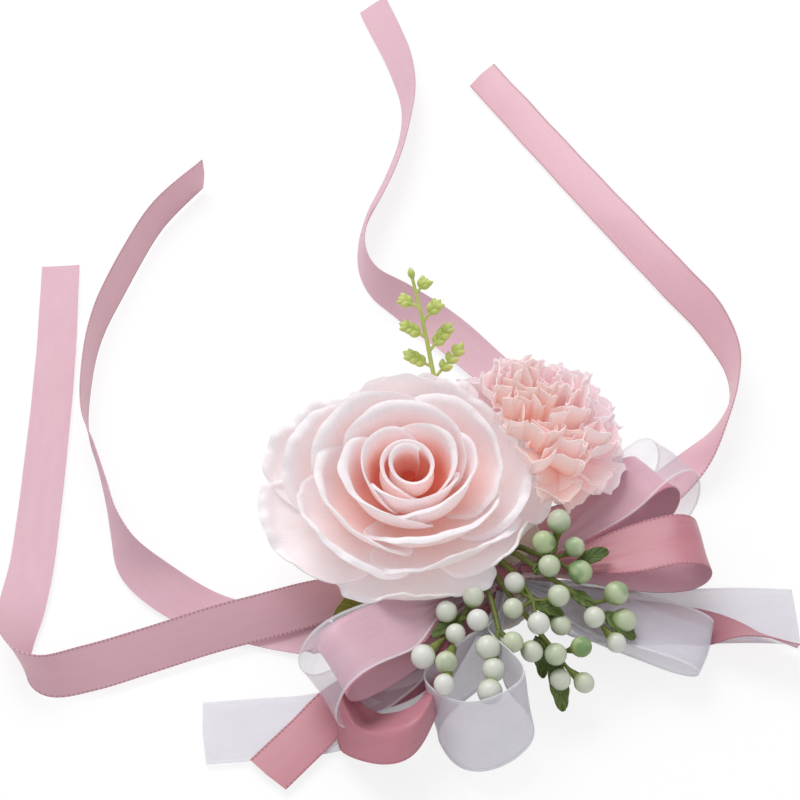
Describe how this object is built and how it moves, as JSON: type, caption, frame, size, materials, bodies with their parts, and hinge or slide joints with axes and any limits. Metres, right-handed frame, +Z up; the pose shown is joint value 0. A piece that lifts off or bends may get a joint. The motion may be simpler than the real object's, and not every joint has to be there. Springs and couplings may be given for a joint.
{
  "type": "wrist corsage",
  "caption": "Wrist corsage: a fabric rose and carnation with a budding sprig, berry twigs and a satin and organza bow on a round pad, with ribbon ends to tie round the wrist.",
  "frame": {"origin": "middle of the felt backing's underside, which lies on the wrist", "axes": "+Z up out of the flowers, +X to the right and -Y to the front as the picture shows it"},
  "size_m": [0.1847, 0.2698, 0.0399],
  "materials": {
    "felt": "soft felt",
    "card": "matt card",
    "glue": "set hot-melt glue",
    "satin": "pink satin ribbon, matt on its reverse",
    "organza": "sheer white organza ribbon",
    "rose_petal": "pressed fabric petals",
    "carnation_petal": "pinked fabric petals",
    "leaf": "printed fabric leaf",
    "stem": "green plastic",
    "sprig": "yellow-green plastic",
    "berry": "pale green berries on green stalks"
  },
  "bodies": {
    "corsage": {"backing_felt": "felt", "base_card": "card", "glue_bed": "glue", "tie_upper_band": "satin", "tie_lower_band": "satin", "bow_knot": "satin", "rose_calyx": "stem", "carnation_stem": "stem", "carnation_calyx": "stem", "rose_leaf": "leaf", "bow_organza_left": "organza", "bow_satin_left_lining": "satin", "bow_satin_front": "satin", "bow_organza_front": "organza", "bow_organza_right_rear": "organza", "bow_satin_right_rear_lining": "satin", "bow_satin_right": "satin", "bow_organza_right_front": "organza", "bow_tail_organza_left_root": "organza", "bow_tail_satin_left_root": "satin", "bow_tail_organza_right_root": "organza", "bow_tail_satin_right_root": "satin", "rose_petals_outer": "rose_petal", "rose_petals_fourth": "rose_petal", "rose_petals_third": "rose_petal", "rose_petals_second": "rose_petal", "rose_petals_inner": "rose_petal", "rose_bud": "rose_petal", "carnation_petals_outer": "carnation_petal", "carnation_petals_middle": "carnation_petal", "carnation_petals_inner": "carnation_petal", "carnation_petals_core": "carnation_petal", "berry_twig_left": "berry"},
    "tie_left_front": {"tie_left_front": "satin"},
    "tie_left_rear": {"tie_left_rear": "satin"},
    "tie_rear": {"tie_rear": "satin"},
    "tie_right": {"tie_right": "satin"},
    "bow_tail_organza_left": {"bow_tail_organza_left": "organza"},
    "bow_tail_satin_left": {"bow_tail_satin_left": "satin"},
    "bow_tail_organza_right": {"bow_tail_organza_right": "organza"},
    "bow_tail_satin_right": {"bow_tail_satin_right": "satin"},
    "bud_sprig": {"bud_sprig": "sprig"},
    "berry_twig_rear": {"berry_twig_rear": "berry"},
    "berry_twig_middle": {"berry_twig_middle": "berry"},
    "berry_twig_front": {"berry_twig_front": "berry"},
    "berry_twig_right": {"berry_twig_right": "berry"},
    "berry_twig_front_right": {"berry_twig_front_right": "berry"}
  },
  "joints": [
    {"name": "left_front_tie_bend", "type": "hinge", "parent": "corsage", "child": "tie_left_front", "pos_m": [-0.028, -0.0145, 0.0018], "axis": [0, -1, 0], "range_deg": [0, 75]},
    {"name": "left_rear_tie_bend", "type": "hinge", "parent": "corsage", "child": "tie_left_rear", "pos_m": [-0.028, -0.0145, 0.0018], "axis": [0, -1, 0], "range_deg": [0, 75]},
    {"name": "rear_tie_bend", "type": "hinge", "parent": "corsage", "child": "tie_rear", "pos_m": [0.01758, 0.04588, 0.0018], "axis": [-0.7349, -0.6782, 0], "range_deg": [0, 75]},
    {"name": "right_tie_bend", "type": "hinge", "parent": "corsage", "child": "tie_right", "pos_m": [0.02709, 0.01035, 0.0026], "axis": [-0.3567, 0.9342, 0], "range_deg": [0, 75]},
    {"name": "left_organza_tail_bend", "type": "hinge", "parent": "corsage", "child": "bow_tail_organza_left", "pos_m": [-0.0117, -0.0297, 0.0014], "axis": [0.7091, -0.7051, 0], "range_deg": [0, 60]},
    {"name": "left_satin_tail_bend", "type": "hinge", "parent": "corsage", "child": "bow_tail_satin_left", "pos_m": [-0.0117, -0.0297, 0.0014], "axis": [0.7091, -0.7051, 0], "range_deg": [0, 60]},
    {"name": "right_organza_tail_bend", "type": "hinge", "parent": "corsage", "child": "bow_tail_organza_right", "pos_m": [0.026, -0.0144, 0.001], "axis": [0.108, 0.9941, 0], "range_deg": [0, 60]},
    {"name": "right_satin_tail_bend", "type": "hinge", "parent": "corsage", "child": "bow_tail_satin_right", "pos_m": [0.026, -0.0144, 0.001], "axis": [0.108, 0.9941, 0], "range_deg": [0, 60]},
    {"name": "sprig_sway", "type": "hinge", "parent": "corsage", "child": "bud_sprig", "pos_m": [-0.002, 0.015, 0.00675], "axis": [-0.9656, -0.2599, 0], "range_deg": [-4, 12], "stiffness_Nm_per_rad": 0.003},
    {"name": "rear_twig_sway", "type": "hinge", "parent": "corsage", "child": "berry_twig_rear", "pos_m": [0.0086, -0.0014, 0.00675], "axis": [0.6712, 0.7413, 0], "range_deg": [-6, 0], "stiffness_Nm_per_rad": 0.003},
    {"name": "middle_twig_sway", "type": "hinge", "parent": "corsage", "child": "berry_twig_middle", "pos_m": [0.0046, -0.004, 0.00675], "axis": [0.8779, 0.4789, 0], "range_deg": [-5, 0], "stiffness_Nm_per_rad": 0.003},
    {"name": "front_twig_sway", "type": "hinge", "parent": "corsage", "child": "berry_twig_front", "pos_m": [0.0003, -0.0055, 0.00675], "axis": [0.973, 0.2307, 0], "range_deg": [-3, 0], "stiffness_Nm_per_rad": 0.003},
    {"name": "right_twig_sway", "type": "hinge", "parent": "corsage", "child": "berry_twig_right", "pos_m": [0.007, -0.0032, 0.00675], "axis": [0.6816, 0.7317, 0], "range_deg": [-4, 0], "stiffness_Nm_per_rad": 0.003},
    {"name": "front_right_twig_sway", "type": "hinge", "parent": "corsage", "child": "berry_twig_front_right", "pos_m": [0.0026, -0.005, 0.00675], "axis": [0.8601, 0.5101, 0], "range_deg": [-4, 2], "stiffness_Nm_per_rad": 0.003}
  ],
  "couplings": [
    {"joint": "left_rear_tie_bend", "follows": "left_front_tie_bend", "ratio": 1},
    {"joint": "left_satin_tail_bend", "follows": "left_organza_tail_bend", "ratio": 1},
    {"joint": "right_satin_tail_bend", "follows": "right_organza_tail_bend", "ratio": 1}
  ]
}
